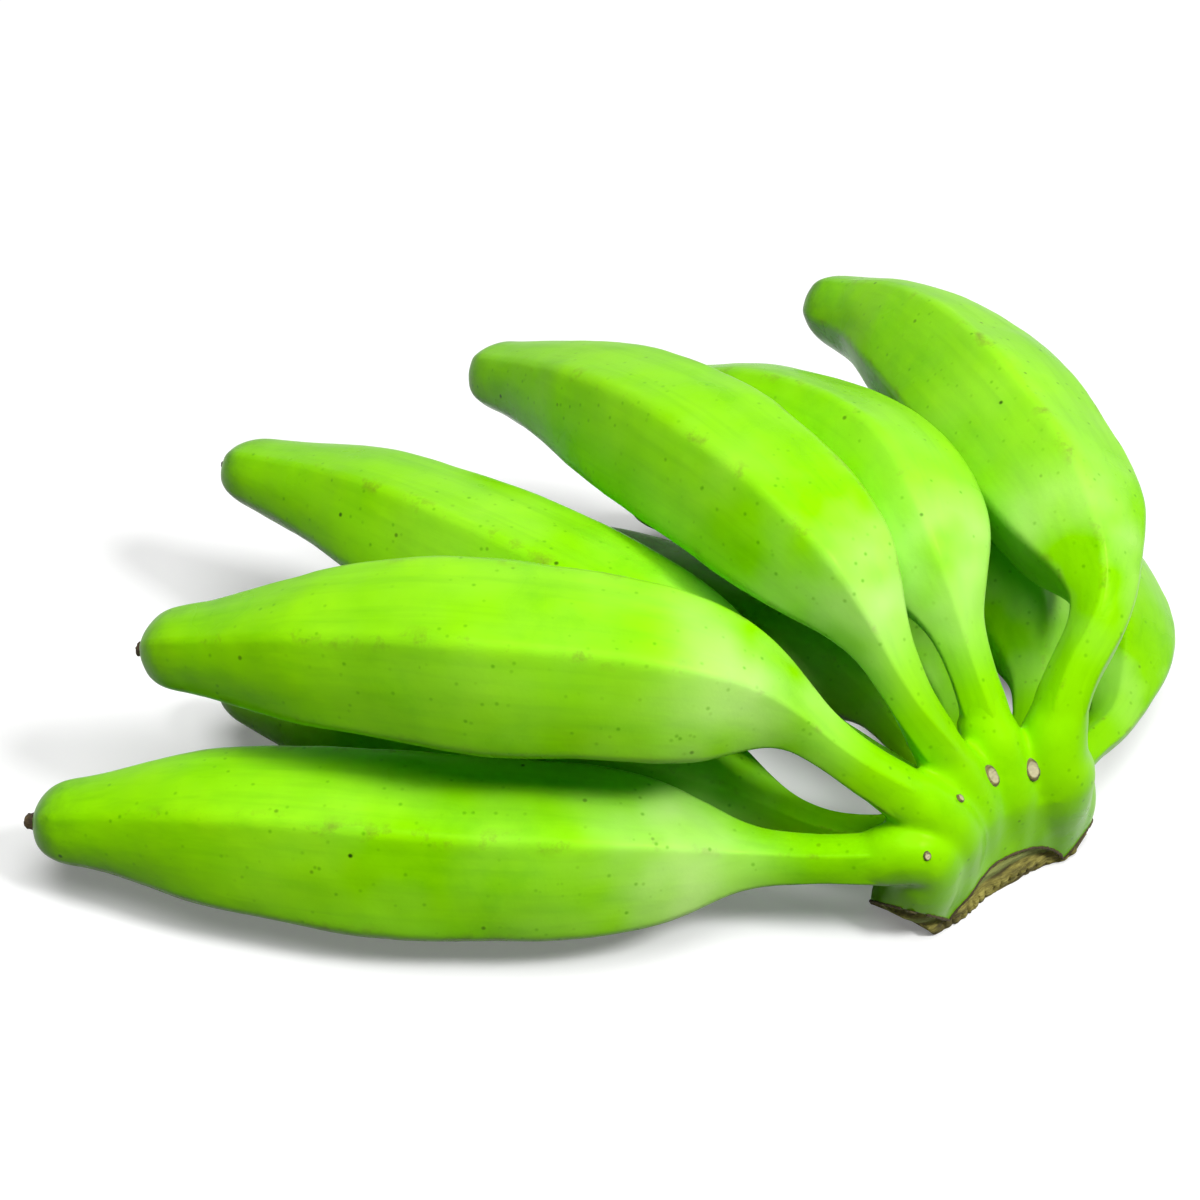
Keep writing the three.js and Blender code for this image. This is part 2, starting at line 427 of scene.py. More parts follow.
@dataclass(frozen=True)
class WaxyPeel:
    """Unripe banana peel: waxy plant skin, satin, which the eye reads as fresh and firm.

    The wax gives a broad soft highlight. The pale bloom on the shoulder is partly the wax's own
    bloom and partly painted sheen. Old rubs and pores give the small dark specks.
    """

    name: str = "waxy_banana_peel"
    main: str = "#8ADA00"
    deep: str = "#7CCE00"
    light: str = "#94E002"
    streak: str = "#62B400"
    rub: str = "#6F7A1C"
    tip: str = "#4C8A12"
    # pale wax bloom, lightened on the shoulder to serve as a painted sheen
    bloom_and_sheen: str = "#CBF096"
    highlight: str = "#B8FF50"
    roughness: float = 0.29
    ior: float = 1.26
    mottle_mm: float = 26.0
    blotch_mm: float = 5.0
    streak_mm: float = 3.4
    streak_run: float = 0.07        # width of a fibre over its length
    rub_mm: float = 9.0
    bloom_and_sheen_mm: float = 24.0
    pore_mm: float = 1.1
    pore_depth_mm: float = 0.3
    # share of the finger's length, and how thick the bloom and its painted sheen lie there
    bloom_and_sheen_marks: tuple[tuple[float, float], ...] = ((0.12, 0.0), (0.27, 1.0), (0.42, 0.15), (0.9, 0.0))
    # real ones are finer than a render shows, so a speck is drawn about half a millimetre wide
    specks: Dots = Dots("#1F4205", 7.5, (0.04, 0.09), 1.0, 0, 0.6)
    freckles: Dots = Dots("#4FA000", 2.4, (0.06, 0.26), 0.75, 1, 0.62)

    def fibres(self, tree: bpy.types.NodeTree, grain: bpy.types.NodeSocket) -> bpy.types.NodeSocket:
        """Draws the skin's fibres, which run from the stalk to the tip.

        Args:
            tree: the material's node tree.
            grain: place in the straight finger.

        Returns:
            How strongly they show.
        """
        drawn = add_node(tree, "ShaderNodeMapping", {"Scale": (1.0, 1.0, self.streak_run)},
                         {"Vector": grain}).outputs[0]
        return patches(tree, drawn, self.streak_mm, (3.0, 0.6), (0.45, 0.75), (0.0, 0.32))

    def rubs(self, tree: bpy.types.NodeTree, place: bpy.types.NodeSocket,
             grain: bpy.types.NodeSocket) -> bpy.types.NodeSocket:
        """Draws brownish rubs on the ridges, where fruit chafes against fruit.

        Args:
            tree: the material's node tree.
            place: where on the piece.
            grain: place in the straight finger, where the ridges lie on known turns.

        Returns:
            How strongly they show.
        """
        across = add_node(tree, "ShaderNodeSeparateXYZ", {}, {0: grain}).outputs
        around = add_node(tree, "ShaderNodeMath", {"operation": "ARCTAN2"},
                          {0: across[1], 1: across[0]}).outputs[0]
        around = add_node(tree, "ShaderNodeMath", {"operation": "MULTIPLY", 1: float(RIDGES)},
                          {0: around}).outputs[0]
        crest = add_node(tree, "ShaderNodeMath", {"operation": "SINE"}, {0: around}).outputs[0]
        crest = add_node(tree, "ShaderNodeMapRange", {"From Min": 0.86, "From Max": 1.0},
                         {"Value": crest}).outputs[0]
        chafed = patches(tree, place, self.rub_mm, (6.0, 0.7), (0.54, 0.7), (0.0, 0.7))
        return add_node(tree, "ShaderNodeMath", {"operation": "MULTIPLY"},
                        {0: chafed, 1: crest}).outputs[0]

    def dark_tip(self, tree: bpy.types.NodeTree, along: bpy.types.NodeSocket,
                 blotch: bpy.types.NodeSocket) -> bpy.types.NodeSocket:
        """Draws the patchy dark skin at the tip.

        Args:
            tree: the material's node tree.
            along: share of the finger's length.
            blotch: the skin's small blotches.

        Returns:
            How strongly it shows.
        """
        tip = add_node(tree, "ShaderNodeMapRange",
                       {"From Min": 0.93, "From Max": 0.995, "To Max": 0.75},
                       {"Value": along}).outputs[0]
        return add_node(tree, "ShaderNodeMath", {"operation": "MULTIPLY"},
                        {0: tip, 1: blotch}).outputs[0]

    def bloom_and_painted_sheen(self, tree: bpy.types.NodeTree, place: bpy.types.NodeSocket,
             along: bpy.types.NodeSocket) -> bpy.types.NodeSocket:
        """Draws the pale wax bloom on the shoulder.

        Args:
            tree: the material's node tree.
            place: where on the piece.
            along: share of the finger's length.

        Returns:
            How thick the bloom lies.
        """
        shoulder = add_node(tree, "ShaderNodeValToRGB", {}, {0: along})
        ramp = shoulder.color_ramp
        ramp.interpolation = "EASE"
        for at, value in self.bloom_and_sheen_marks:
            ramp.elements.new(at).color = (value, value, value, 1)
        ramp.elements.remove(ramp.elements[0])
        ramp.elements.remove(ramp.elements[-1])
        sheen_patches = patches(tree, place, self.bloom_and_sheen_mm, (2.0, 0.5), (0.35, 0.68), (0.0, 0.62))
        return add_node(tree, "ShaderNodeMath", {"operation": "MULTIPLY"},
                        {0: shoulder.outputs[0], 1: sheen_patches}).outputs[0]

    def make(self, is_finger: bool) -> bpy.types.Material:
        """Builds the material.

        Args:
            is_finger: whether the piece carries the along and grain attributes of a finger.

        Returns:
            The material.
        """
        made, tree = blank_material(self.name if is_finger else self.name + "_crown")
        place = add_node(tree, "ShaderNodeTexCoord").outputs["Object"]
        mottle = add_node(tree, "ShaderNodeTexNoise",
                          {"Scale": 1 / (self.mottle_mm * MM), "Detail": 3.0, "Roughness": 0.55},
                          {"Vector": place}).outputs["Fac"]
        spread = add_node(tree, "ShaderNodeMapRange", {"From Min": 0.36, "From Max": 0.64},
                          {"Value": mottle}).outputs[0]
        blotch = patches(tree, place, self.blotch_mm, (4.0, 0.6), (0.35, 0.7), (0.25, 1.0))
        skin = add_node(tree, "ShaderNodeMix",
                        {"data_type": "RGBA", 6: linear(self.deep), 7: linear(self.light)},
                        {0: spread}).outputs[2]
        skin = add_node(tree, "ShaderNodeMix", {"data_type": "RGBA", 6: linear(self.main)},
                        {0: blotch, 7: skin}).outputs[2]

        layers = []
        if is_finger:
            grain = add_node(tree, "ShaderNodeAttribute", {"attribute_name": "grain"}).outputs["Vector"]
            along = add_node(tree, "ShaderNodeAttribute", {"attribute_name": "along"}).outputs["Fac"]
            # the last layer, the shoulder's pale bloom, is partly painted sheen
            layers = [(self.fibres(tree, grain), self.streak),
                      (self.rubs(tree, place, grain), self.rub),
                      (self.dark_tip(tree, along, blotch), self.tip),
                      (self.bloom_and_painted_sheen(tree, place, along), self.bloom_and_sheen)]
        layers += [(dots.share(tree, place), dots.colour) for dots in (self.specks, self.freckles)]
        for share, colour in layers:
            skin = add_node(tree, "ShaderNodeMix", {"data_type": "RGBA", 7: linear(colour)},
                            {0: share, 6: skin}).outputs[2]

        pores = add_node(tree, "ShaderNodeTexNoise",
                         {"Scale": 1 / (self.pore_mm * MM), "Detail": 2.0}, {"Vector": place})
        relief = add_node(tree, "ShaderNodeMath", {"operation": "ADD"},
                          {0: pores.outputs["Fac"], 1: blotch}).outputs[0]
        bump = add_node(tree, "ShaderNodeBump",
                        {"Strength": 0.12, "Distance": self.pore_depth_mm * MM},
                        {"Height": relief}).outputs[0]
        gloss = add_node(tree, "ShaderNodeMapRange",
                         {"From Min": 0.3, "From Max": 0.7, "To Min": self.roughness - 0.05,
                          "To Max": self.roughness + 0.08}, {"Value": mottle}).outputs[0]
        shader = add_node(tree, "ShaderNodeBsdfPrincipled",
                          {"IOR": self.ior, "Specular Tint": linear(self.highlight)},
                          {"Base Color": skin, "Roughness": gloss, "Normal": bump})
        add_node(tree, "ShaderNodeOutputMaterial", {}, {"Surface": shader.outputs[0]})
        return made


@dataclass(frozen=True)
class DriedFibre:
    """Cut banana stem that has dried: curled fibres, matt and olive brown, dark at the rim."""

    name: str = "dried_stem_fibre"
    pale: str = "#D0C66A"
    mid: str = "#938C40"
    dark: str = "#3E3618"
    flesh: str = "#A9B865"
    roughness: float = 0.85
    fibre_mm: float = 0.9
    fibre_depth_mm: float = 0.5
    # size of the painted crease shade
    crease_shade_mm: float = 2.6
    run: tuple[float, float, float] = (0.16, 0.5, 1.0)      # a fibre's width over its length

    def make(self) -> bpy.types.Material:
        """Builds the material, whose pale flesh shows where the piece's lip attribute is 0.

        Returns:
            The material.
        """
        made, tree = blank_material(self.name)
        place = add_node(tree, "ShaderNodeTexCoord").outputs["Object"]
        # the fibres run along the cut, so the pattern is turned that way before it is drawn out
        turned = add_node(tree, "ShaderNodeMapping",
                          {"Rotation": (0.0, 0.0, math.radians(90 - ARCH_HEADING))},
                          {"Vector": place}).outputs[0]
        drawn = add_node(tree, "ShaderNodeMapping", {"Scale": self.run},
                         {"Vector": turned}).outputs[0]
        fibre = add_node(tree, "ShaderNodeTexNoise",
                         {"Scale": 1 / (self.fibre_mm * MM), "Detail": 5.0, "Roughness": 0.65},
                         {"Vector": drawn}).outputs["Fac"]
        ramp = add_node(tree, "ShaderNodeValToRGB", {}, {0: fibre})
        marks = ramp.color_ramp.elements
        for mark, colour, at in zip(marks, (self.dark, self.pale), (0.32, 0.7)):
            mark.color = linear(colour)
            mark.position = at
        marks.new(0.5).color = linear(self.mid)
        # dark creases drawn out along the cut: painted shade of the tissue's folds
        crease = patches(tree, drawn, self.crease_shade_mm, (2.0, 0.5), (0.5, 0.64), (0.0, 0.8))
        lip = add_node(tree, "ShaderNodeAttribute", {"attribute_name": "lip"}).outputs["Fac"]
        fresh = add_node(tree, "ShaderNodeMapRange",
                         {"From Min": 0.2, "From Max": 0.8, "To Min": 0.75, "To Max": 0.0},
                         {"Value": lip}).outputs[0]
        skin = ramp.outputs[0]
        for share, colour in ((crease, self.dark), (fresh, self.flesh)):
            skin = add_node(tree, "ShaderNodeMix", {"data_type": "RGBA", 7: linear(colour)},
                            {0: share, 6: skin}).outputs[2]
        bump = add_node(tree, "ShaderNodeBump",
                        {"Strength": 0.6, "Distance": self.fibre_depth_mm * MM},
                        {"Height": fibre}).outputs[0]
        shader = add_node(tree, "ShaderNodeBsdfPrincipled", {"Roughness": self.roughness},
                          {"Base Color": skin, "Normal": bump})
        add_node(tree, "ShaderNodeOutputMaterial", {}, {"Surface": shader.outputs[0]})
        return made


# ---------------------------------------------------------------- fingers


class Row(Enum):
    """The two rows of fingers on a hand."""

    UPPER = "upper"
    LOWER = "lower"


@dataclass
class Finger:
    """One banana, modelled straight and then bent along its centre line.

    Lengths are in millimetres. Rolls are in degrees, at the stalk and at the tip, measured from
    straight up to the right. The stalk ends, and the belly begins to narrow, at those shares of
    the length. The path's points run from the crown to the tip and are measured from the heart.
    """

    row: Row
    place: int
    girth: float
    roll: tuple[float, float]
    stalk: float
    narrows: float
    path: tuple[tuple[float, float, float], ...]

    @property
    def label(self) -> str:
        """Row and place, as the names of its pieces and of the frame's nodes end."""
        return f"{self.row.value}_{self.place}"

    def centre_line(self, per_span: int = 14) -> list[Vector]:
        """Samples the smooth centre line through the path's points.

        Args:
            per_span: samples between two points of the path.

        Returns:
            Points in metres, from the crown to the tip.
        """
        marks = [(HEART + Vector(p)) * MM for p in self.path]
        marks = [2 * marks[0] - marks[1], *marks, 2 * marks[-1] - marks[-2]]
        line: list[Vector] = []
        for a, b, c, d in zip(marks, marks[1:], marks[2:], marks[3:]):
            t1 = (b - a).length ** 0.5
            t2 = t1 + (c - b).length ** 0.5
            t3 = t2 + (d - c).length ** 0.5
            for step in range(per_span):
                t = t1 + (t2 - t1) * step / per_span
                p = a.lerp(b, t / t1)
                q = b.lerp(c, (t - t1) / (t2 - t1))
                r = c.lerp(d, (t - t2) / (t3 - t2))
                first, second = p.lerp(q, t / t2), q.lerp(r, (t - t1) / (t3 - t1))
                line.append(first.lerp(second, (t - t1) / (t2 - t1)))
        line.append(marks[-2])
        return line

    @property
    def length(self) -> float:
        """Length of the centre line, in metres."""
        line = self.centre_line()
        return sum((b - a).length for a, b in zip(line, line[1:]))

    def width(self, share: float) -> float:
        """Half width at a share of the length, as a share of half the girth.

        Args:
            share: of the finger's length, from the crown.

        Returns:
            The half width.
        """
        rest = 1 - self.narrows
        return smooth_through((
            (0.0, 0.32),                          # inside the crown
            (0.6 * self.stalk, 0.29),             # the stalk's waist
            (self.stalk, 0.35),
            (self.stalk + SHOULDER, 0.55),        # the shoulder
            (self.stalk + 0.10, 0.77),
            (self.stalk + 0.17, 0.92),
            (self.stalk + 0.28, 0.99),            # the belly
            (self.narrows - 0.08, 1.0),
            (self.narrows + 0.27 * rest, 0.85),
            (self.narrows + 0.50 * rest, 0.69),
            (self.narrows + 0.70 * rest, 0.55),   # the neck
            (self.narrows + 0.87 * rest, 0.46),
            (1.0, 0.40)), share)

    def section(self, name: str) -> bpy.types.Object:
        """Models the widest cross-section and leaves it selected in edit mode.

        Args:
            name: the new object's name.

        Returns:
            One face with five rounded ridges and full facets.
        """
        radius = self.girth / 2 * MM + CORNER_PAST * RIDGE_ROUND * MM
        deselect()
        bpy.ops.mesh.primitive_circle_add(vertices=RIDGES, radius=radius, fill_type="NGON",
                                          location=(0, 0, 0))
        bar = bpy.context.active_object
        bar.name = name
        bpy.ops.object.mode_set(mode="EDIT")
        bpy.ops.mesh.select_all(action="SELECT")
        bpy.ops.mesh.bevel(offset=RIDGE_ROUND * MM / CORNER_TANGENT, segments=3, affect="VERTICES")
        # each facet is split in the middle, and the middles are drawn outwards
        cage = bmesh.from_edit_mesh(bar.data)
        longest = max(e.calc_length() for e in cage.edges)
        for edge in cage.edges:
            edge.select_set(edge.calc_length() > 0.9 * longest)
        bmesh.update_edit_mesh(bar.data)
        bpy.ops.mesh.subdivide(number_cuts=1)
        cage = bmesh.from_edit_mesh(bar.data)
        nearest = min(v.co.length for v in cage.verts)
        for face in cage.faces:
            face.select_set(False)
        for vertex in cage.verts:
            vertex.select_set(vertex.co.length < 1.002 * nearest)
        cage.select_flush_mode()
        bmesh.update_edit_mesh(bar.data)
        bpy.ops.transform.resize(value=(FACET_SWELL, FACET_SWELL, 1), center_override=(0, 0, 0))
        bpy.ops.mesh.select_all(action="SELECT")
        return bar

    def round_ends(self, bar: bpy.types.Object, full: float) -> None:
        """Rounds the ridges off on the stalk and towards the tip.

        Args:
            bar: the straight bar.
            full: the finger's length, in metres.
        """
        rings: dict[int, list[bpy.types.MeshVertex]] = {}
        for vertex in bar.data.vertices:
            rings.setdefault(round(vertex.co.z / MM * 20), []).append(vertex)
        for ring in rings.values():
            mean = sum(v.co.xy.length for v in ring) / len(ring)
            share = ring[0].co.z / full
            at_tip = NECK_ROUND * clamp((share - self.narrows) / (NECK - self.narrows))
            on_stalk = STALK_ROUND * clamp((self.stalk + SHOULDER - share) / SHOULDER)
            for vertex in ring:
                if vertex.co.xy.length > 0:
                    ratio = 1 + max(at_tip, on_stalk) * (mean / vertex.co.xy.length - 1)
                    vertex.co.x *= ratio
                    vertex.co.y *= ratio

    def straight(self, name: str, until: float, grow: Callable[[float], float]) -> bpy.types.Object:
        """Models the finger as a straight ridged bar standing on the origin.

        Args:
            name: the new object's name.
            until: share of the length at which the bar ends.
            grow: extra half width in millimetres, by share of the length.

        Returns:
            The bar, closed at both ends, with its place along the finger as an attribute.
        """
        full = self.length
        half = self.girth / 2 * MM
        rings = max(4, round(full * until / (RING_STEP * MM)))
        shares = [until * k / rings for k in range(rings + 1)]
        widths = [half * self.width(s) + grow(s) * MM for s in shares]

        bar = self.section(name)
        first = widths[0] / half
        bpy.ops.transform.resize(value=(first, first, 1), center_override=(0, 0, 0))
        climb = [((upper - lower) * full, after / before)
                 for before, after, lower, upper in zip(widths, widths[1:], shares, shares[1:])]
        # the blunt end is rounded over, then dished where the flower was
        climb += [(rise * MM, ratio) for rise, ratio in END_ROUND]
        height = 0.0
        for rise, ratio in climb:
            height += rise
            raise_ring(rise, ratio, height)
        bpy.ops.mesh.merge(type="CENTER")
        bpy.ops.mesh.select_all(action="SELECT")
        bpy.ops.mesh.normals_make_consistent(inside=False)
        bpy.ops.object.mode_set(mode="OBJECT")
        self.round_ends(bar, full)

        along = bar.data.attributes.new("along", "FLOAT", "POINT")
        along.data.foreach_set("value", [v.co.z / full for v in bar.data.vertices])
        grain = bar.data.attributes.new("grain", "FLOAT_VECTOR", "POINT")
        for spot, vertex in zip(grain.data, bar.data.vertices):
            spot.vector = vertex.co
        return bar

    def bend(self, bar: bpy.types.Object) -> None:
        """Bends a straight bar along the centre line and applies the bend.

        Args:
            bar: the bar, standing on the origin.
        """
        line = self.centre_line()
        line.append(2 * line[-1] - line[-2])
        run = [0.0]
        for a, b in zip(line, line[1:]):
            run.append(run[-1] + (b - a).length)
        guide = bpy.data.curves.new("guide", "CURVE")
        guide.dimensions = "3D"
        guide.twist_mode = "Z_UP"
        spline = guide.splines.new("POLY")
        spline.points.add(len(line) - 1)
        for point, spot, way in zip(spline.points, line, run):
            point.co = (*spot, 1)
            point.tilt = math.radians(self.roll[0] + (self.roll[1] - self.roll[0]) * way / run[-1])
        rail = in_scene("guide", guide)
        work(bar, "CURVE", object=rail, deform_axis="POS_Z")
        bpy.data.objects.remove(rail)
        bpy.data.curves.remove(guide)

    def build(self) -> bpy.types.Object:
        """Models the whole finger in its place.

        Returns:
            The finger.
        """
        full = self.length
        body = self.straight(
            f"banana_{self.label}", 1 - END_LENGTH * MM / full,
            lambda share: -ROOT_SINK * max(0.0, 1 - share * full / (ROOT_LENGTH * MM)))
        self.bend(body)
        work(body, "SUBSURF", levels=SMOOTH_LEVELS, render_levels=SMOOTH_LEVELS)
        roughen(body, "swell", *SWELL)
        roughen(body, "dents", *DENTS)
        settle(body)
        take_up(body)
        bpy.ops.object.shade_smooth()
        return body

    def stump(self) -> bpy.types.Object:
        """Models the stretch of stalk that belongs to the crown.

        Returns:
            The stump, still by itself.
        """
        until = STUMP_LENGTH * MM / self.length
        bar = self.straight(f"stump_{self.label}", until,
                            lambda share: STUMP_PROUD - STUMP_TAPER * share / until)
        self.bend(bar)
        work(bar, "SUBSURF", levels=SMOOTH_LEVELS, render_levels=SMOOTH_LEVELS)
        return bar


def hand_of_fingers() -> list[Finger]:
    """Lists the eleven fingers of the hand, the front of the fan first.

    Returns:
        The fingers.
    """
    upper, lower = Row.UPPER, Row.LOWER
    return [
        Finger(upper, 1, 43.5, (-37, -37), 0.20, 0.74,
               ((-14, -22, 27), (-32, -22, 25), (-57, -18, 22), (-115, -16, 21.5),
                (-178, -8, 21), (-217, -4, 19))),
        Finger(upper, 2, 44, (-40, -40), 0.21, 0.68,
               ((-13, -15, 32), (-31, -15, 47), (-54, -9, 62), (-114, -2, 67),
                (-164, 8, 61), (-190, 15, 55))),
        Finger(upper, 3, 41.5, (-33, -33), 0.21, 0.66,
               ((-7, -6, 33), (-19, -3, 55), (-34, 16, 74), (-64, 54, 79),
                (-96, 92, 71), (-118, 115, 63))),
        Finger(upper, 4, 39, (-16, -8), 0.22, 0.68,
               ((3, 1, 32), (-3, 10, 49), (-10, 26, 63), (-21, 56, 70),
                (-45, 84, 67), (-78, 110, 60))),
        Finger(upper, 5, 43, (-2, -12), 0.22, 0.70,
               ((15, 5, 31), (18.5, 11, 46), (27, 26, 60), (16, 72, 66),
                (-10, 132, 63.5), (-29, 156, 57))),
        Finger(lower, 1, 38, (-40, -40), 0.20, 0.70,
               ((-16, -10, 19), (-36, -8, 20), (-58, 6, 19), (-105, 20, 18.5),
                (-151, 32, 18.5), (-180, 45, 18))),
        Finger(lower, 2, 41, (-25, -25), 0.21, 0.68,
               ((-11, -3, 22), (-28, 0, 34), (-53, 12, 44), (-97, 37, 51),
                (-149, 74, 51), (-182, 95, 47))),
        Finger(lower, 3, 39, (-30, -30), 0.20, 0.70,
               ((-6, 3, 17), (-15, 24, 20), (-32, 49, 19.5), (-75, 69, 19),
                (-114, 88, 19), (-141, 103, 19))),
        Finger(lower, 4, 36, (-48, -48), 0.20, 0.70,
               ((2, 5, 16), (-1, 31, 19), (-6, 61, 18), (-31, 94, 17.5),
                (-64, 116, 18), (-79, 119, 18))),
        Finger(lower, 5, 35, (-60, -60), 0.20, 0.70,
               ((9, 7, 17), (16, 28, 23), (17, 56, 26), (3, 90, 30),
                (-24, 119, 30), (-59, 139, 30))),
        Finger(lower, 6, 37, (-70, -60), 0.20, 0.70,
               ((17, 10, 17), (27, 20, 19), (37.5, 35, 17), (39, 76, 16.5),
                (20, 121, 17), (-13, 145, 18))),
    ]


# ---------------------------------------------------------------- crown


Run = tuple[tuple[float, float, float, float], ...]


@dataclass
class Crown:
    """The cushion of stem tissue that carries the fingers, fused with the first of each stalk.

    A run is points of (x, y, z, radius), in millimetres from the heart. Each elbow is one that
    comes up from the cut, turns at the knuckle and goes out along its stalk. The fills stand
    between the elbows, and the core's round lumps stand behind them, between the two rows.
    """

    fingers: list[Finger]
    elbows: tuple[Run, ...] = (
        ((-16, -13, -4, 9.5), (-16.5, -16, 8, 9.8), (-15.5, -18.5, 18, 9.6), (-16.5, -20.5, 26, 8.4),
         (-28, -22, 25.7, 6.6)),
        ((-10, -9, -4, 10), (-10.5, -11, 14, 10.5), (-11.5, -14, 27, 10), (-14.5, -15, 33.5, 7.8),
         (-22, -15, 39.5, 6.2)),
        ((-4, -3, -4, 10), (-4.5, -4, 14, 10.5), (-6, -6, 27, 10), (-8, -6, 34, 8.0),
         (-12, -5, 42, 6.2)),
        ((5, 3, -4, 10), (4.5, 2, 14, 10.5), (3.5, 1, 27, 10), (2, 2, 34, 7.8),
         (-1.5, 6.5, 43, 6)),
        ((18, 11, -4, 10.5), (17, 8, 12, 10.5), (16, 5, 27, 10.3), (15.6, 5.5, 34, 8.2),
         (17.6, 9.2, 42, 6.2)))
    fills: tuple[Run, ...] = (
        ((-13, -11, -4, 10), (-14, -13.5, 12, 10), (-13.5, -16.5, 25, 8.4)),
        ((-7, -6, -4, 10), (-7.5, -7.5, 14, 10.3), (-8.7, -10, 27, 8.6)),
        ((0.5, 0, -4, 10), (0, -1, 14, 10.3), (-1.2, -2.9, 27.5, 8.6)),
        ((11, 7, -4, 10), (10.5, 5, 14, 10.3), (9.6, 2.4, 27.5, 8.6)))
    core: Run = (
        (-13, -12, 12, 9), (-7, -3, 13, 10), (1, 5, 13, 10), (10, 9, 13, 10), (20, 11, 10, 10))
    core_height: float = 17.0                       # half the height of a lump
    # the dried tissue's folds and its pale band: (height, depth) and (height, share)
    folds: tuple[tuple[float, float], ...] = (
        (0, 1.2), (2.2, 1.9), (4.0, 0.3), (5.5, -0.9), (7.5, 0.1), (9.5, 0.3), (11.5, -0.8))
    pale_band: tuple[tuple[float, float], ...] = ((4.5, 0), (6.0, 1), (9.0, 1), (10.5, 0))
    fold_sway: tuple[float, float] = (9.0, 1.8)     # the folds rise and fall: size and height
    streak_grain: tuple[float, float, float] = (0.12, 0.12, 0.55)   # streaks per millimetre
    streak_depth: float = 1.1
    smoothing: int = 21                             # passes that round the fused crown
    ironing: int = 5                                # and that round the dried tissue's folds
    crease: float = 50.0                            # degrees: a sharper bend is left as an edge
    cut_angle: float = 38.0                         # degrees: skin meets cut at more than this
    edge_radius: float = 0.36                       # of the dried edge

    def pipe(self, run: Run) -> bpy.types.Object:
        """Makes a round pipe through a run of points.

        Args:
            run: (x, y, z, radius) points in millimetres from the heart.

        Returns:
            The pipe as a closed mesh object.
        """
        line = bpy.data.curves.new("pipe", "CURVE")
        line.dimensions = "3D"
        line.bevel_depth = MM
        line.bevel_resolution = line.resolution_u = 8
        line.use_fill_caps = True
        spline = line.splines.new("BEZIER")
        spline.bezier_points.add(len(run) - 1)
        for point, (x, y, z, radius) in zip(spline.bezier_points, run):
            point.co = (HEART + Vector((x, y, z))) * MM
            point.handle_left_type = point.handle_right_type = "AUTO"
            point.radius = radius
        take_up(in_scene("pipe", line))
        bpy.ops.object.convert(target="MESH")
        return bpy.context.active_object

    def cushion(self) -> bpy.types.Object:
        """Models the crown's core: its elbows and the tissue between the two rows.

        Returns:
            The core, as solids that run through each other.
        """
        parts = [self.pipe(run) for run in (*self.elbows, *self.fills)]
        for x, y, z, radius in self.core:
            deselect()
            bpy.ops.mesh.primitive_uv_sphere_add(
                segments=32, ring_count=20, radius=1.0, location=(HEART + Vector((x, y, z))) * MM,
                scale=(radius * MM, radius * MM, self.core_height * MM))
            parts.append(bpy.context.active_object)
        return fuse(parts, "crown_core")

    def fused(self) -> bpy.types.Object:
        """Fuses the core and the stumps into one smooth skin, before the knife.

        Returns:
            The uncut crown.
        """
        stumps = [finger.stump() for finger in self.fingers]
        body = fuse([self.cushion(), *stumps], "crown_skin")
        bpy.ops.object.transform_apply(location=True, rotation=True, scale=True)
        work(body, "REMESH", mode="VOXEL", voxel_size=CROWN_VOXEL * MM)
        work(body, "SMOOTH", factor=0.5, iterations=self.smoothing)
        roughen(body, "crown_swell", *SWELL)
        roughen(body, "crown_dents", *DENTS)
        return body

    def cut_away(self, body: bpy.types.Object, tool: bpy.types.Object) -> None:
        """Takes one solid out of another and throws the tool away."""
        work(body, "BOOLEAN", operation="DIFFERENCE", object=tool)
        bpy.data.objects.remove(tool)

    def slice_off(self, body: bpy.types.Object, point: Sequence[float], facing: Vector) -> None:
        """Saws off whatever lies past a plane.

        Args:
            body: the mesh object.
            point: a point on the plane, in millimetres from the heart.
            facing: the side that is thrown away.
        """
        deselect()
        way = facing.normalized()
        bpy.ops.mesh.primitive_cube_add(
            size=SAW_SIZE * MM, location=(HEART + Vector(point) + SAW_SIZE / 2 * way) * MM,
            rotation=way.to_track_quat("Z", "Y").to_euler())
        self.cut_away(body, bpy.context.active_object)

    def build(self) -> tuple[bpy.types.Object, bpy.types.Object]:
        """Models the crown, with the knife's cuts, and the dried tissue that they bared.

        Returns:
            The crown's skin and the dried tissue.
        """
        body = self.fused()
        flesh = in_scene("dried_cut", body.data.copy())
        self.slice_off(body, LEFT_CUT_POINT, LEFT_CUT_FACING)
        self.slice_off(body, RIGHT_CUT_POINT, RIGHT_CUT_FACING)
        deselect()
        bpy.ops.mesh.primitive_cylinder_add(
            vertices=96, radius=ARCH_RADIUS * MM, depth=ARCH_LENGTH * MM,
            location=((HEART.x + ARCH_MIDDLE[0]) * MM, (HEART.y + ARCH_MIDDLE[1]) * MM,
                      (ARCH_TOP - ARCH_RADIUS) * MM),
            rotation=(math.radians(90), 0, math.radians(ARCH_HEADING - 90)))
        self.cut_away(body, bpy.context.active_object)
        settle(body)
        drop_crumbs(body, CRUMB_FACES)
        take_up(body)
        bpy.ops.object.shade_smooth_by_angle(angle=math.radians(self.crease))
        return body, self.dried(flesh)

    def fold_up(self, flesh: bpy.types.Object) -> None:
        """Folds and streaks the dried tissue and marks its pale band as the lip attribute.

        Args:
            flesh: the tissue, cut to size.
        """
        lip = flesh.data.attributes.new("lip", "FLOAT", "POINT")
        size, sway = self.fold_sway
        values = []
        for vertex in flesh.data.vertices:
            spot = vertex.co / MM
            height = spot.z + sway * noise.noise(spot / size)
            drawn = zip((spot.x, spot.y, height), self.streak_grain)
            streak = noise.noise(Vector([where * share for where, share in drawn]))
            fold = smooth_through(self.folds, height)
            flat = Vector((vertex.normal.x, vertex.normal.y, 0))
            if flat.length > 0.5:       # steep sides only
                vertex.co += flat.normalized() * (fold + self.streak_depth * streak) * MM
            values.append(1 - smooth_through(self.pale_band, height))
        lip.data.foreach_set("value", values)

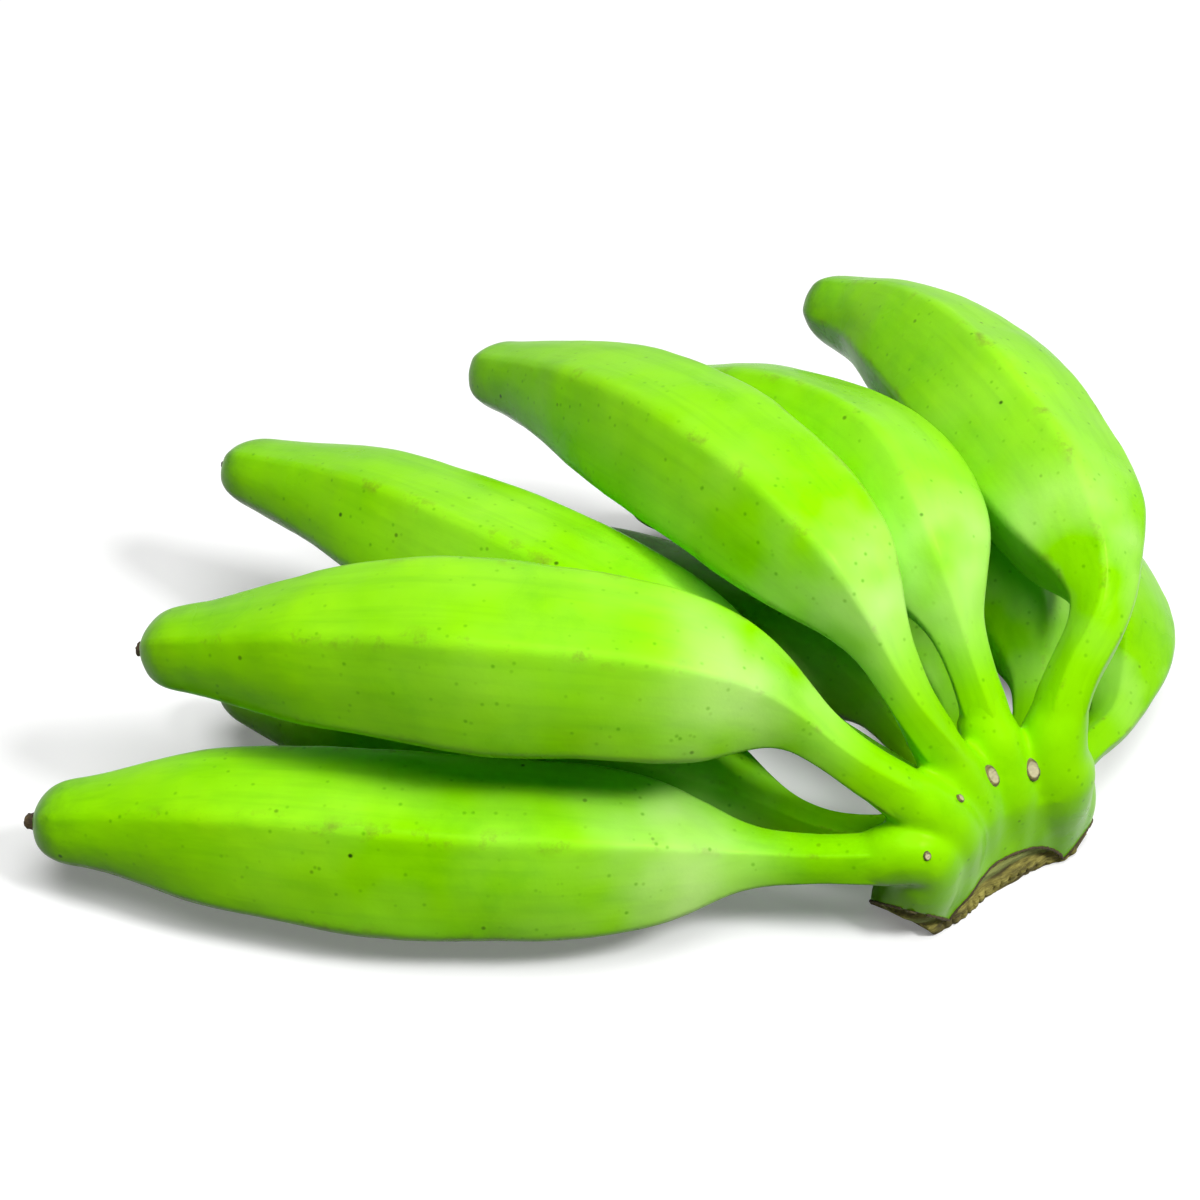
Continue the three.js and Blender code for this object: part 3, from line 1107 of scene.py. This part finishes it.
    def dried(self, flesh: bpy.types.Object) -> bpy.types.Object:
        """Shrinks a copy of the uncut crown into the dried tissue and works its lip.

        Args:
            flesh: the copy.

        Returns:
            The dried tissue.
        """
        take_up(flesh)
        bpy.ops.object.mode_set(mode="EDIT")
        bpy.ops.mesh.select_all(action="SELECT")
        bpy.ops.transform.shrink_fatten(value=-FLESH_SHRINK * MM)
        bpy.ops.object.mode_set(mode="OBJECT")
        work(flesh, "REMESH", mode="VOXEL", voxel_size=CROWN_VOXEL * MM)
        self.slice_off(flesh, (0, 0, FLESH_TOP), Vector((0, 0, 1)))
        self.slice_off(flesh, LIP_CUT_POINT, LIP_CUT_FACING)
        proud = Vector(RIGHT_CUT_POINT) + FLESH_PROUD * RIGHT_CUT_FACING.normalized()
        self.slice_off(flesh, proud, RIGHT_CUT_FACING)
        drop_crumbs(flesh, CRUMB_FACES)
        self.fold_up(flesh)
        work(flesh, "SMOOTH", factor=0.5, iterations=self.ironing)
        settle(flesh)
        drop_crumbs(flesh, CRUMB_FACES)
        take_up(flesh)
        bpy.ops.object.shade_smooth()
        return flesh

    def rim(self, body: bpy.types.Object) -> bpy.types.Object:
        """Runs a thin dried edge along the skin where the knife went through it.

        Args:
            body: the crown's skin.

        Returns:
            The edge.
        """
        take_up(body)
        bpy.ops.object.mode_set(mode="EDIT")
        bpy.ops.mesh.select_mode(type="EDGE")
        bpy.ops.mesh.select_all(action="DESELECT")
        cage = bmesh.from_edit_mesh(body.data)
        sharp = math.radians(self.cut_angle)
        lowest, highest = 1.2 * TABLE_GAP * MM, (ARCH_TOP + 3) * MM     # clear of the table
        for edge in cage.edges:
            edge.select_set(len(edge.link_faces) == 2 and edge.calc_face_angle(0.0) > sharp
                            and all(lowest < v.co.z < highest for v in edge.verts))
        bmesh.update_edit_mesh(body.data)
        bpy.ops.mesh.duplicate()
        bpy.ops.mesh.separate(type="SELECTED")
        bpy.ops.object.mode_set(mode="OBJECT")
        take_up(next(o for o in bpy.context.selected_objects if o is not body))
        bpy.ops.object.convert(target="CURVE")
        edge = bpy.context.active_object
        edge.data.bevel_depth = self.edge_radius * MM
        edge.data.bevel_resolution = 2
        edge.data.use_fill_caps = True
        bpy.ops.object.convert(target="MESH")
        edge = bpy.context.active_object
        edge.name = "dried_edge"
        drop_crumbs(edge, EDGE_CRUMB_FACES)
        roughen(edge, "frayed", 0.9, 0.5)
        bpy.ops.object.shade_smooth()
        return edge


# ---------------------------------------------------------------- scars and flower stubs


@dataclass
class Scars:
    """Corky scars that flower bracts left in the notches of the crown.

    Each is (x, y, z, length, width, turn): a point near the skin and the oval's two sizes, in
    millimetres, and its turn in degrees.
    """

    spots: tuple[tuple[float, float, float, float, float, float], ...] = (
        (-0.6, -6.0, 35.5, 5.8, 4.0, 8), (10.2, -3.0, 34.5, 5.4, 4.0, 0),
        (-12.5, -15.0, 34.0, 2.6, 2.0, 30), (-16.8, -26.0, 31.0, 2.2, 1.8, 0),
        (-17.9, -25.6, 12.6, 3.2, 2.6, 20))
    # inset and rise of each ring, from the rim inwards, as shares of the radius
    profile: tuple[tuple[float, float], ...] = (
        (0.12, 0.24), (0.16, 0.05), (0.16, -0.14), (0.2, -0.04), (0.18, 0.05))
    pale_radius: float = 0.55       # the middle is pale this far out and then darkens
    pale_fade: float = 0.25
    lift: float = 0.10              # above the skin
    relief: float = 1.6             # millimetres to one unit of the profile's rise

    def master(self) -> bpy.types.Object:
        """Models one scar: a low rim round a dished, cracked middle, one unit in radius.

        Returns:
            The scar, lying on the origin.
        """
        deselect()
        bpy.ops.mesh.primitive_circle_add(vertices=28, radius=1.0, fill_type="NGON")
        scar = bpy.context.active_object
        bpy.ops.object.mode_set(mode="EDIT")
        bpy.ops.mesh.select_all(action="SELECT")
        for inset, rise in self.profile:
            bpy.ops.mesh.inset(thickness=inset, depth=0)
            bpy.ops.transform.translate(value=(0, 0, rise))
        bpy.ops.mesh.merge(type="CENTER")
        bpy.ops.object.mode_set(mode="OBJECT")
        work(scar, "SUBSURF", levels=1, render_levels=1)
        shades = scar.data.attributes.new("lip", "FLOAT", "POINT")
        shades.data.foreach_set("value", [clamp((v.co.xy.length - self.pale_radius) / self.pale_fade)
                                          for v in scar.data.vertices])
        return scar

    def build(self, skin: bpy.types.Object) -> bpy.types.Object:
        """Sets a copy of the scar on the skin at each spot.

        Args:
            skin: the crown that carries them.

        Returns:
            All scars as one object.
        """
        master = self.master()
        copies = []
        for x, y, z, length, width, turn in self.spots:
            found, spot, normal, _ = skin.closest_point_on_mesh((HEART + Vector((x, y, z))) * MM)
            if not found:
                raise RuntimeError(f"no skin near the scar at {x}, {y}, {z}")
            copy = in_scene("bract_scar", master.data.copy())
            size = (width / 2 * MM, length / 2 * MM, self.relief * MM, 1.0)
            copy.data.transform(Matrix.Translation(spot + normal * self.lift * MM)
                                @ normal.to_track_quat("Z", "Y").to_matrix().to_4x4()
                                @ Matrix.Rotation(math.radians(turn), 4, "Z")
                                @ Matrix.Diagonal(size))
            copies.append(copy)
        bpy.data.objects.remove(master)
        scars = fuse(copies, "bract_scars")
        roughen(scars, "cork", 0.8, 0.3)
        bpy.ops.object.shade_smooth()
        return scars


@dataclass
class FlowerStubs:
    """The dried end of the flower on each finger."""

    fingers: list[Finger]
    radius: float = 2.3
    base: float = 2.0               # the part inside the fruit
    sink: float = 0.4               # and how far its middle is sunk
    # rise and narrowing of each ring, from the base to the hollow at the end
    profile: tuple[tuple[float, float], ...] = (
        (0.7, 0.80), (0.8, 0.86), (0.7, 1.12), (0.3, 0.85), (-0.5, 0.6), (-0.3, 0.5))
    furrows: int = 5
    furrow_width: float = 0.74      # the stub's width in a furrow over its full width
    set_back: float = 0.3           # behind the finger's end
    lean: float = 0.25              # radians, at most
    sizes: tuple[float, float] = (0.85, 1.15)

    def master(self) -> bpy.types.Object:
        """Models one shrivelled stub, standing on the origin.

        Returns:
            The stub.
        """
        deselect()
        bpy.ops.mesh.primitive_cylinder_add(vertices=15, radius=self.radius * MM,
                                            depth=self.base * MM, location=(0, 0, -self.sink * MM))
        stub = bpy.context.active_object
        bpy.ops.object.transform_apply(location=True)
        bpy.ops.object.mode_set(mode="EDIT")
        bpy.ops.mesh.select_all(action="DESELECT")
        cage = bmesh.from_edit_mesh(stub.data)
        for face in cage.faces:
            face.select_set(face.normal.z > 0.9)
        bmesh.update_edit_mesh(stub.data)
        for rise, ratio in self.profile:
            raise_ring(rise * MM, ratio)
        bpy.ops.mesh.merge(type="CENTER")
        cage = bmesh.from_edit_mesh(stub.data)
        cage.verts.ensure_lookup_table()
        for vertex in cage.verts:
            in_furrow = math.cos(self.furrows * math.atan2(vertex.co.y, vertex.co.x)) > 0.9
            vertex.select_set(in_furrow and vertex.co.z > 0)
        cage.select_flush(True)
        bmesh.update_edit_mesh(stub.data)
        bpy.ops.transform.resize(value=(self.furrow_width, self.furrow_width, 1),
                                 center_override=(0, 0, 0))
        bpy.ops.object.mode_set(mode="OBJECT")
        work(stub, "SUBSURF", levels=2, render_levels=2)
        shades = stub.data.attributes.new("lip", "FLOAT", "POINT")
        shades.data.foreach_set("value", [1.0] * len(stub.data.vertices))
        return stub

    def build(self) -> list[tuple[bpy.types.Object, str]]:
        """Copies the stub to every finger's end.

        Returns:
            Each stub with the name of the node that it stands for.
        """
        master = self.master()
        made = []
        for finger in self.fingers:
            line = finger.centre_line()
            ahead = (line[-1] - line[-2]).normalized()
            stub = in_scene(f"flower_end_{finger.label}", master.data.copy())
            turn = Matrix.Rotation(random.uniform(0, math.tau), 4, "Z")
            lean = Matrix.Rotation(random.uniform(-self.lean, self.lean), 4, "X")
            size = random.uniform(*self.sizes)
            stub.data.transform(Matrix.Translation(line[-1] - ahead * self.set_back * MM)
                                @ ahead.to_track_quat("Z", "Y").to_matrix().to_4x4()
                                @ lean @ turn @ Matrix.Scale(size, 4))
            roughen(stub, "shrivel", 1.3, 0.7)
            settle(stub)
            bpy.ops.object.shade_smooth()
            made.append((stub, f"flower_stub_{finger.label}"))
        bpy.data.objects.remove(master)
        return made


# ---------------------------------------------------------------- studio


@dataclass
class Studio:
    """Floor, lamps and camera."""

    aim: tuple[float, float, float] = (-5.6, 35.7, 0.0)     # millimetres
    distance: float = 620.0
    elevation: float = 40.0
    lens: float = 69.0
    card_seen: str = "#EFEFEF"
    card_lighting: str = "#3E3E3E"      # what the card's other rays meet, so that it adds no light
    # how far from the middle, in metres, the floor begins to be lifted and is white
    lifted: tuple[float, float] = (0.25, 1.1)
    least_lift: float = 0.18
    room_light: float = 0.05

    def build(self) -> None:
        """Makes the floor, the lamps, the world and the camera."""
        self.floor()
        self.softbox("key_softbox", (0.02, -0.30, 1.18), 0.80, 12.4)
        self.softbox("side_softbox", (0.62, -0.46, 0.92), 0.22, 9.0)
        self.room()
        self.camera()
        bpy.context.scene.view_settings.view_transform = "Standard"

    def seen_directly(self, tree: bpy.types.NodeTree, ray: bpy.types.Node) -> bpy.types.NodeSocket:
        """Tells the rays that show a thing, straight or mirrored, from those that only light.

        Args:
            tree: node tree of the floor or the world.
            ray: its Light Path node.

        Returns:
            1 for the rays that show it and 0 for the others.
        """
        mirrored = add_node(tree, "ShaderNodeMath", {"operation": "MAXIMUM"},
                            {0: ray.outputs["Is Glossy Ray"],
                             1: ray.outputs["Is Transmission Ray"]}).outputs[0]
        return add_node(tree, "ShaderNodeMath", {"operation": "MAXIMUM"},
                        {0: ray.outputs["Is Camera Ray"], 1: mirrored}).outputs[0]

    def floor(self) -> None:
        """Lays the hand on a sheet of matt white card."""
        deselect()
        bpy.ops.mesh.primitive_plane_add(size=12.0, location=(0, 0, 0))
        floor = bpy.context.active_object
        floor.name = "floor"
        white, tree = blank_material("matt_white_card")
        ray = add_node(tree, "ShaderNodeLightPath")
        tone = add_node(tree, "ShaderNodeMix",
                        {"data_type": "RGBA", 6: linear(self.card_lighting),
                         7: linear(self.card_seen)}, {0: self.seen_directly(tree, ray)})
        card = add_node(tree, "ShaderNodeBsdfDiffuse", {}, {"Color": tone.outputs[2]})
        # the lamps only reach the middle of the floor, so it is lifted to white further out
        spot = add_node(tree, "ShaderNodeTexCoord").outputs["Object"]
        far = add_node(tree, "ShaderNodeVectorMath", {"operation": "LENGTH"}, {0: spot})
        pale = add_node(tree, "ShaderNodeMapRange",
                        {"From Min": self.lifted[0], "From Max": self.lifted[1],
                         "To Min": self.least_lift, "To Max": 1.0}, {"Value": far.outputs["Value"]})
        lift = add_node(tree, "ShaderNodeMath", {"operation": "MULTIPLY"},
                        {0: ray.outputs["Is Camera Ray"], 1: pale.outputs[0]})
        glow = add_node(tree, "ShaderNodeEmission", {}, {"Strength": lift.outputs[0]})
        both = add_node(tree, "ShaderNodeAddShader", {}, {0: card.outputs[0], 1: glow.outputs[0]})
        add_node(tree, "ShaderNodeOutputMaterial", {}, {"Surface": both.outputs[0]})
        floor.data.materials.append(white)

    def room(self) -> None:
        """Makes a world that is seen as white and lights the hand only faintly."""
        world = bpy.data.worlds.new("room")
        bpy.context.scene.world = world
        world.use_nodes = True
        tree = world.node_tree
        tree.nodes.clear()
        ray = add_node(tree, "ShaderNodeLightPath")
        soft, plain = (add_node(tree, "ShaderNodeBackground",
                                {"Color": (1, 1, 1, 1), "Strength": strength})
                       for strength in (self.room_light, 1.0))
        mix = add_node(tree, "ShaderNodeMixShader", {},
                       {0: self.seen_directly(tree, ray), 1: soft.outputs[0], 2: plain.outputs[0]})
        add_node(tree, "ShaderNodeOutputWorld", {}, {"Surface": mix.outputs[0]})

    def camera(self) -> None:
        """Stands the camera in front of the hand, looking down at it."""
        down = math.radians(self.elevation)
        spot = Vector(self.aim) + self.distance * Vector((0, -math.cos(down), math.sin(down)))
        lens = bpy.data.cameras.new("camera")
        lens.lens = self.lens
        lens.sensor_width = 36.0
        lens.clip_start = 0.01
        camera = in_scene("camera", lens)
        camera.location = spot * MM
        camera.rotation_euler = (math.radians(90 - self.elevation), 0, 0)
        bpy.context.scene.camera = camera

    def softbox(self, name: str, spot: tuple[float, float, float], size: float,
                power: float) -> None:
        """Hangs a square lamp that looks at the hand.

        Args:
            name: the lamp's name.
            spot: its place, in metres.
            size: its side, in metres.
            power: in watts.
        """
        lamp = bpy.data.lights.new(name, "AREA")
        lamp.shape = "SQUARE"
        lamp.size = size
        lamp.energy = power
        holder = in_scene(name, lamp)
        holder.location = spot
        holder.rotation_euler = Vector(spot).to_track_quat("Z", "Y").to_euler()


# ---------------------------------------------------------------- the hand


def dress(piece: bpy.types.Object, material: bpy.types.Material, slot: str, *nodes: str) -> None:
    """Gives a piece its material and body and hides the frame's nodes that it stands for.

    Args:
        piece: the mesh object.
        material: its finish.
        slot: not used.
        nodes: names of the frame's nodes that it replaces, if any.
    """
    piece.data.materials.clear()
    piece.data.materials.append(material)
    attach(piece, "root")
    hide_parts(*nodes)
    log.info("%s: %d faces", piece.name, len(piece.data.polygons))


def main() -> None:
    """Builds the hand and the studio."""
    logging.basicConfig(level=logging.INFO, format="%(message)s")
    random.seed(SEED)
    Studio().build()
    fingers = hand_of_fingers()
    peel = WaxyPeel()
    finger_skin = peel.make(True)
    for finger in fingers:
        dress(finger.build(), finger_skin, "peel", f"finger_{finger.label}")
    maker = Crown(fingers)
    crown, cut = maker.build()
    singed = DriedFibre(name="dried_rim", pale="#5E5128", mid="#43381C", dark="#20170B",
                        flesh="#43381C")
    dress(maker.rim(crown), singed.make(), "dried_cut")
    dress(crown, peel.make(False), "crown_skin", "crown")
    dress(cut, DriedFibre().make(), "dried_cut", "crown_cut")
    cork = DriedFibre(name="corky_scar", pale="#8E8452", mid="#6A6236", dark="#332A14",
                      flesh="#C6BE98", fibre_mm=0.7)
    dress(Scars().build(crown), cork.make(), "dried_cut")
    husk = DriedFibre(name="shrivelled_flower", pale="#6B5A3A", mid="#43351F", dark="#1C140B",
                      flesh="#43351F").make()
    for stub, node in FlowerStubs(fingers).build():
        dress(stub, husk, "dried_stub", node)
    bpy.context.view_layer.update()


if __name__ == "__main__":
    main()
